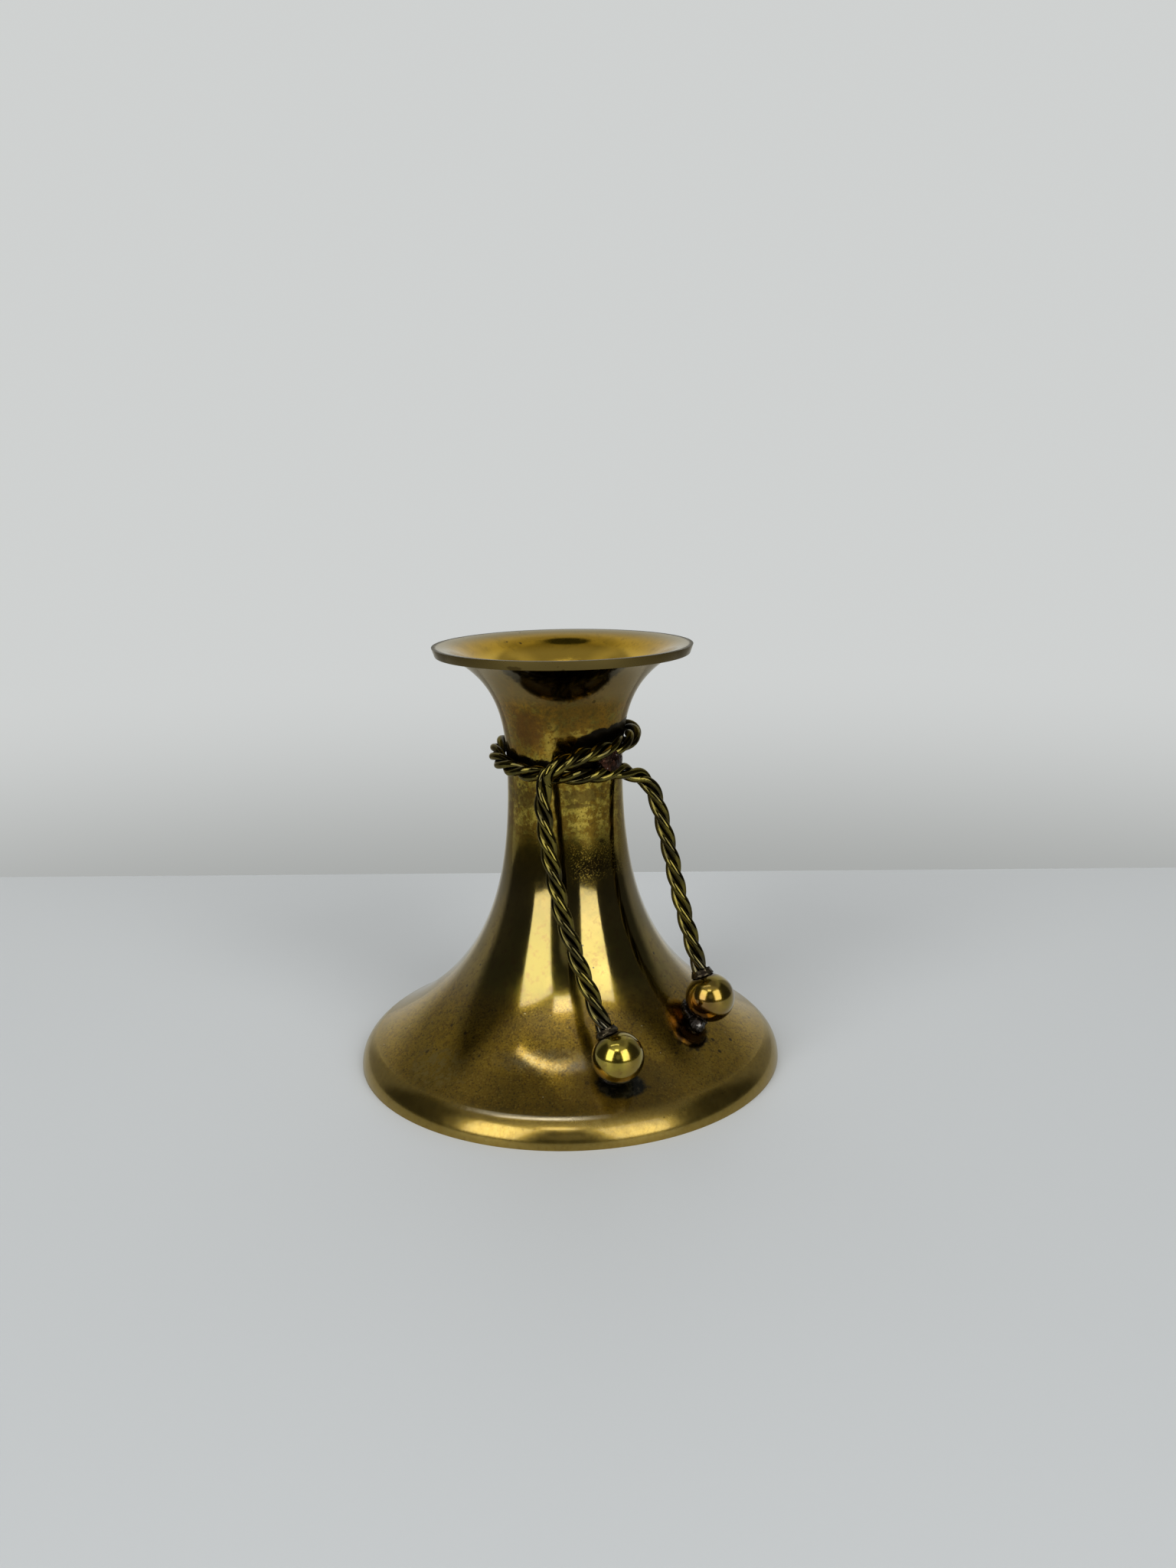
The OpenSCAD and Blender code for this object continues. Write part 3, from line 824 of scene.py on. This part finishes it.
def ball_brass():
    """Polished brass of the balls, browner and partly copper-red on the side ball."""
    brass = Finish("ball_brass", BALL_GOLD)
    patch = brass.cloud(6, 5, shift=7)
    brass.lay(brass.band(patch, 0.42, 0.62), BALL_BROWN)
    brass.lay(brass.band(brass.cloud(1.2, 5, shift=1), 0.56, 0.7, 0, 0.6), BROWN)
    brass.lay(brass.band(brass.distance(BALL_CENTRES[1]), 7, 6, 0, 0.4), BROWN)
    brass.lay(brass.times(brass.stain(*BALL_RED), 0.9), BALL_COPPER)
    brass.lay(brass.specks(2.4, 0.12), DIRT_AND_SHADE_BLACK)
    # Dirt and painted shade where the ball meets the rope and the body
    brass.lay(brass.attribute("grime_and_shade"), BALL_DIRT_AND_SHADE)
    return brass.set(Metallic=1.0, Roughness=brass.band(patch, 0.4, 0.7, 0.15, 0.2),
                     Coat_Weight=0.6, Coat_Roughness=0.04,
                     Normal=brass.bump(brass.cloud(0.9, 1), 0.002))


def solder_metal(name, size, shift, ground, layers, rough, metallic, relief):
    """Solder with a ground tone, further tones between two levels of its clouds, and a roughness
    that goes between two levels from one value to another."""
    metal = Finish(name, ground)
    patch = metal.cloud(size, 5, shift=shift)
    for start, end, tone in layers:
        metal.lay(metal.band(patch, start, end), tone)
    return metal.set(Metallic=metallic, Roughness=metal.band(patch, *rough),
                     Normal=metal.bump(patch, relief))


def run_solder():
    """Dark solder with grey patches, under the balls and at the candle stop."""
    return solder_metal("run_solder", 0.9, 4, RUN_DARK, [(0.56, 0.66, RUN_GREY)],
                        (0.35, 0.65, 0.4, 0.25), 0.85, 0.1)


def dark_solder():
    """Dark red-brown drop at the neck, with bright glints."""
    return solder_metal("dark_solder", 1.3, 6, DROP_BLACK,
                        [(0.45, 0.6, DROP_RED), (0.64, 0.68, DROP_SILVER)],
                        (0.35, 0.6, 0.3, 0.12), 0.92, 0.35)


def brown_solder():
    """Brown collars where the rope enters the balls."""
    return solder_metal("brown_solder", 1.1, 8, COLLAR_DARK, [(0.4, 0.62, COLLAR_BROWN)],
                        (0.35, 0.65, 0.4, 0.2), 0.9, 0.08)


body_finish = aged_brass()
rope_finish = rope_brass()
ball_finish = ball_brass()
solder_finish = run_solder()
drop_finish = dark_solder()
collar_finish = brown_solder()

# The rope, with dirt and painted shade in its grooves
wire_meshes = {node: round_wire(node) for node in WIRES}
wire_points = {node: [v.co.copy() for v in mesh.vertices] for node, mesh in wire_meshes.items()}
all_points = [p for points in wire_points.values() for p in points]
for node, mesh in wire_meshes.items():
    others = tree_of([p for other in WIRES if other != node for p in wire_points[other]])
    shade_by(mesh, "grime_and_shade", near(others, *GROOVE_DIRT_AND_SHADE))
    shade_by(mesh, "back", rope_back_dirt_and_shade)
    link("brass_" + node, mesh, rope_finish, "dark_brass_wire", node)
rope_tree = tree_of(all_points)

# The body, darkened by dirt and painted shade where the rope lies close
body_mesh = to_mesh(spun_body(), "spun_body")
for name, value in (("grime_and_shade", rope_dirt_and_shade), ("inside", is_inside), ("rim_edge", is_rim_edge)):
    shade_by(body_mesh, name, value)
link("spun_brass_body", body_mesh, body_finish, "aged_brass", "candle_body")
body_tree = tree_of([v.co for v in body_mesh.vertices if v.co.z < BALLS_TOP_Z])


def polished_ball(node):
    """Ball on a rope's end, with dirt and painted shade where it meets the rope and the body."""
    low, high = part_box(node)
    centre, radius = (low + high) / 2, (high.x - low.x) / 2
    inside = [p for p in all_points if (p - centre).length < radius]
    mesh = drilled_ball(node, sum(inside, Vector()) / len(inside))
    by_rope, by_body = near(rope_tree, *BALL_DIRT_AND_SHADE_BY_ROPE), near(body_tree, *BALL_DIRT_AND_SHADE_BY_BODY)
    shade_by(mesh, "grime_and_shade", lambda vert: max(by_rope(vert), by_body(vert)))
    link("polished_" + node, mesh, ball_finish, "polished_brass", node)


for node in BALLS:
    polished_ball(node)

# Solder: the height of its lumps and its swelling in millimetres, its rounds of smoothing, the
# seed of its lumps, its reach from the axis and its finish
for node, lump, swell, smoothing, seed, reach, finish in (
        ("front_ball_solder", 0.16, 0.05, 3, 1, None, solder_finish),
        ("side_ball_solder", 0.2, 0.07, 3, 5, None, solder_finish),
        ("front_rope_solder", 0.08, -0.15, 14, 9, None, collar_finish),
        ("side_rope_solder", 0.08, -0.15, 14, 13, None, collar_finish),
        ("neck_solder", 0.3, 0.1, 3, 17, NECK_REACH, drop_finish)):
    mesh = solder_blob(node, lump * MM, swell * MM, smoothing, seed, reach)
    link("run_" + node, mesh, finish, "solder", node)

# CAD nodes that show as they are
for node, finish in (("candle_stop", body_finish), ("stop_solder", solder_finish)):
    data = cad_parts[node].data
    data.materials.clear()
    data.materials.append(finish)

# Camera
CAMERA_PLACE = (0, -0.27396, 0.12816)
VIEW_YAW, VIEW_PITCH, VIEW_ROLL = (math.radians(a) for a in (1.06, 13.37, -0.94))
SENSOR_WIDTH = 36
LENS = 29.0
CLIP_NEAR, CLIP_FAR = 0.01, 20
camera_data = bpy.data.cameras.new("camera")
camera_data.sensor_width = SENSOR_WIDTH
camera_data.lens = LENS
camera_data.clip_start, camera_data.clip_end = CLIP_NEAR, CLIP_FAR
camera = bpy.data.objects.new("camera", camera_data)
camera.matrix_world = (Matrix.Translation(CAMERA_PLACE) @ Matrix.Rotation(-VIEW_YAW, 4, "Z")
                       @ Matrix.Rotation(math.pi / 2 - VIEW_PITCH, 4, "X")
                       @ Matrix.Rotation(VIEW_ROLL, 4, "Z"))
bpy.context.scene.collection.objects.link(camera)
bpy.context.scene.camera = camera

# Table top, which ends behind the holder at a slightly turned edge
TABLE_NEAR, TABLE_LEFT, TABLE_RIGHT = -0.48, -0.35, 0.385
TABLE_BACK, TABLE_SKEW = 0.136, -0.0461
TABLE_TONE, TABLE_BACK_LIT_TONE = (0.655, 0.68, 0.695), (0.75, 0.775, 0.79)

# Depths in millimetres between which the table's tone changes, to a painted lighter tone towards
# the back
TABLE_FADE = (-120, 160)


def table_top():
    bm = bmesh.new()
    corners = [bm.verts.new((x, y, 0)) for x, y in (
        (TABLE_LEFT, TABLE_NEAR), (TABLE_RIGHT, TABLE_NEAR),
        (TABLE_RIGHT, TABLE_BACK + TABLE_SKEW * TABLE_RIGHT),
        (TABLE_LEFT, TABLE_BACK + TABLE_SKEW * TABLE_LEFT))]
    bm.faces.new(corners)
    mesh = bpy.data.meshes.new("table_top")
    bm.to_mesh(mesh)
    bm.free()
    white = Finish("white_table", TABLE_TONE)
    # Painted light: the table lighter towards the back
    white.lay(white.band(white.parts(white.place)[1], *TABLE_FADE), TABLE_BACK_LIT_TONE)
    mesh.materials.append(white.set(Roughness=0.5))
    table = bpy.data.objects.new("table_top", mesh)
    bpy.context.scene.collection.objects.link(table)
    return table


table = table_top()

# Distance of the soft lamps from the point that they light, and that point
LAMP_REACH = 1.1
LIT_POINT = Vector((0, 0, 0.03))

# Narrow strip lamp above the front, from left to right
STRIP_PLACE = (-0.08, -0.104, 0.42)
STRIP_LENGTH, STRIP_WIDTH = 0.248, 0.02
STRIP_TURN = math.radians(-3)
STRIP_RADIANCE = 4


def area_lamp(name, wide, tall, radiance):
    """Rectangular lamp of two sizes, as strong as its radiance asks for."""
    data = bpy.data.lights.new(name, "AREA")
    data.shape = "RECTANGLE"
    data.size, data.size_y = wide, tall
    data.energy = radiance * math.pi * data.size * data.size_y
    lamp = bpy.data.objects.new(name, data)
    bpy.context.scene.collection.objects.link(lamp)
    return lamp


def soft_lamp(name, azimuth, elevation, wide, tall, radiance):
    """Lamp seen from the holder at an azimuth from the front towards the right and an elevation,
    as wide and tall as two angles, all in degrees."""
    a, e = math.radians(azimuth), math.radians(elevation)
    way = Vector((math.sin(a) * math.cos(e), -math.cos(a) * math.cos(e), math.sin(e)))
    sizes = (2 * LAMP_REACH * math.tan(math.radians(angle) / 2) for angle in (wide, tall))
    lamp = area_lamp(name, *sizes, radiance)
    lamp.location = way * LAMP_REACH + LIT_POINT
    lamp.rotation_mode = "QUATERNION"
    lamp.rotation_quaternion = way.to_track_quat("Z", "Y")


soft_lamp("left_panel", -41.5, 27.5, 29, 43, 3.9)
soft_lamp("right_panel", 35, 27.5, 30, 43, 3.9)
soft_lamp("high_panel", -8.5, 53, 15, 7, 4.5)
strip = area_lamp("strip_lamp", STRIP_LENGTH, STRIP_WIDTH, STRIP_RADIANCE)
strip.location = STRIP_PLACE
strip.rotation_euler.z = STRIP_TURN

# Tones of the surroundings
PALE_BACK, LOW_BACK = (0.625, 0.64, 0.635), (0.36, 0.37, 0.36)
SIDE = (0.27, 0.27, 0.26)
DARK_FRONT, DIM_FRONT = (0.05, 0.05, 0.048), (0.3, 0.3, 0.27)
HIGH_FRONT, HIGH_MIDDLE, HIGH_BACK = (0.6, 0.6, 0.58), (0.25, 0.25, 0.24), (0.42, 0.42, 0.4)
DARK_SPOT = (0.03, 0.035, 0.03)

# Round spots of the surroundings: the middle on two of the axes of a direction, then the squared
# distances from it at which the spot ends and at which it is full
SPOT_AHEAD = (-0.03, 0.42, 0.04, 0.015)
SPOT_OVERHEAD = (-0.03, 0.31, 0.034, 0.016)


class Surroundings(Nodes):
    """World whose tone depends on the direction in which it is seen from the holder."""

    def __init__(self):
        world = bpy.data.worlds.new("surroundings")
        world.use_nodes = True
        bpy.context.scene.world = world
        super().__init__(world.node_tree)
        self.x, self.y, self.z = self.parts(self.make("TexCoord").outputs["Generated"])

    def spot(self, a, b, a_middle, b_middle, end, full):
        """Share of a round spot by the squared distance of two axes from its middle."""
        squares = [self.math("POWER", self.minus(value, middle), 2.0)
                   for value, middle in ((a, a_middle), (b, b_middle))]
        return self.band(self.plus(*squares), end, full)

    def back(self):
        """Pale behind the holder, greyer low down."""
        return self.mix(self.band(self.z, -0.34, -0.14), LOW_BACK, PALE_BACK)

    def walls(self):
        """Dark in front, greyer towards the back and pale behind, with a dimly lit spot ahead."""
        flat = self.math("POWER", self.minus(1.0, self.math("POWER", self.z, 2.0)), 0.5)
        behind = self.math("DIVIDE", self.y, flat)
        tone = self.mix(self.band(behind, 0.3, 0.53), DARK_FRONT, SIDE)
        raised = self.plus(behind, self.times(self.z, 0.22))
        tone = self.mix(self.band(raised, 0.8, 0.92), tone, self.back())
        ahead = self.times(self.spot(self.x, self.z, *SPOT_AHEAD), self.band(self.y, 0.0, -0.2))
        return self.mix(ahead, tone, DIM_FRONT)

    def ceiling(self):
        """Bright towards the front, dimmer at the back and the sides, darkest in the middle."""
        outward = self.band(self.math("ABSOLUTE", self.x), 0.3, 0.55)
        off_middle = self.math("MAXIMUM", self.band(self.y, 0.22, 0.36), outward)
        tone = self.mix(off_middle, HIGH_MIDDLE, HIGH_BACK)
        return self.mix(self.band(self.y, -0.36, -0.2), HIGH_FRONT, tone)

    def build(self):
        """The whole world, joined to its background."""
        tone = self.mix(self.band(self.z, 0.72, 0.86), self.walls(), self.ceiling())
        # Dark round spot overhead, seen in the funnel
        over = self.times(self.spot(self.x, self.y, *SPOT_OVERHEAD), self.band(self.z, 0.8, 0.82))
        tone = self.mix(over, tone, DARK_SPOT)
        # The camera sees the pale tone of the back on every side
        seen = self.make("LightPath").outputs["Is Camera Ray"]
        tone = self.mix(seen, tone, self.back())
        background = self.tree.nodes["Background"]
        self.join(tone, background.inputs["Color"])
        background.inputs["Strength"].default_value = 1


Surroundings().build()

bpy.context.scene.view_settings.view_transform = "Standard"
